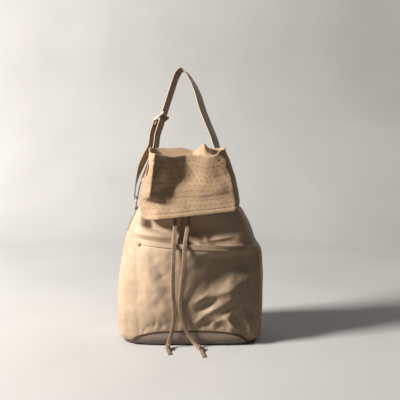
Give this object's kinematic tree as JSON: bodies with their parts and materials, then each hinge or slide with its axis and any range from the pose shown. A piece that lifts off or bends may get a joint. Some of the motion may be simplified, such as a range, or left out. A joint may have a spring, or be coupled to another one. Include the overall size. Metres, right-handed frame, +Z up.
{
  "type": "shoulder bag",
  "caption": "Soft leather drawstring bucket bag with a fold-over flap, a front pocket, a boat-shaped base and an adjustable strap that swings on side rings.",
  "frame": {"origin": "on the floor under the middle of the base", "axes": "+Z up, -Y to the front with the pocket, +X to the right as seen from the front"},
  "size_m": [0.309, 0.2624, 0.5773],
  "materials": {
    "pouch_leather": "soft grained taupe leather",
    "flap_leather": "embossed leather, slightly browner",
    "base_leather": "smooth grey-taupe leather",
    "strap_leather": "folded and stitched leather",
    "cord_leather": "flat edge-stitched leather cord",
    "lining_fabric": "plain woven lining",
    "board": "fibre board",
    "metal": "satin nickel plating"
  },
  "bodies": {
    "bag": {"base_panel": "base_leather", "base_board": "board", "front_panel": "pouch_leather", "back_panel": "pouch_leather", "lining": "lining_fabric", "pocket_panel": "pouch_leather", "pocket_hem": "pouch_leather", "pocket_rivet_left": "metal", "pocket_rivet_right": "metal", "mouth_casing": "pouch_leather", "drawstring_loop": "cord_leather", "eyelet_left": "metal", "eyelet_right": "metal", "drawstring_left": "cord_leather", "drawstring_right": "cord_leather", "knot_left": "cord_leather", "knot_right": "cord_leather", "cord_end_left": "cord_leather", "cord_end_right": "cord_leather", "flap_rear": "flap_leather", "flap_seam_strip": "flap_leather", "strap_tab_left": "strap_leather", "strap_tab_right": "strap_leather", "tab_rivet_left": "metal", "tab_rivet_right": "metal"},
    "flap": {"flap_cover": "flap_leather", "flap_facing": "flap_leather"},
    "strap_arch": {"strap": "strap_leather", "strap_return": "strap_leather", "ring_left": "metal", "ring_right": "metal", "strap_rivet": "metal"},
    "slider": {"slider_frame": "metal", "slider_bar": "metal", "return_loop": "strap_leather"}
  },
  "joints": [
    {"name": "flap_fold", "type": "hinge", "parent": "bag", "child": "flap", "pos_m": [0, 0.024, 0.3975], "axis": [-1, 0, 0], "range_deg": [0, 90]},
    {"name": "strap_swing", "type": "hinge", "parent": "bag", "child": "strap_arch", "pos_m": [-0.00713, 0.0246, 0.284], "axis": [-0.9927, -0.121, 0], "range_deg": [0, 78]},
    {"name": "slider_slide", "type": "slide", "parent": "strap_arch", "child": "slider", "axis": [0.2744, 0.3213, 0.9063], "range_m": [0, 0.03]}
  ]
}
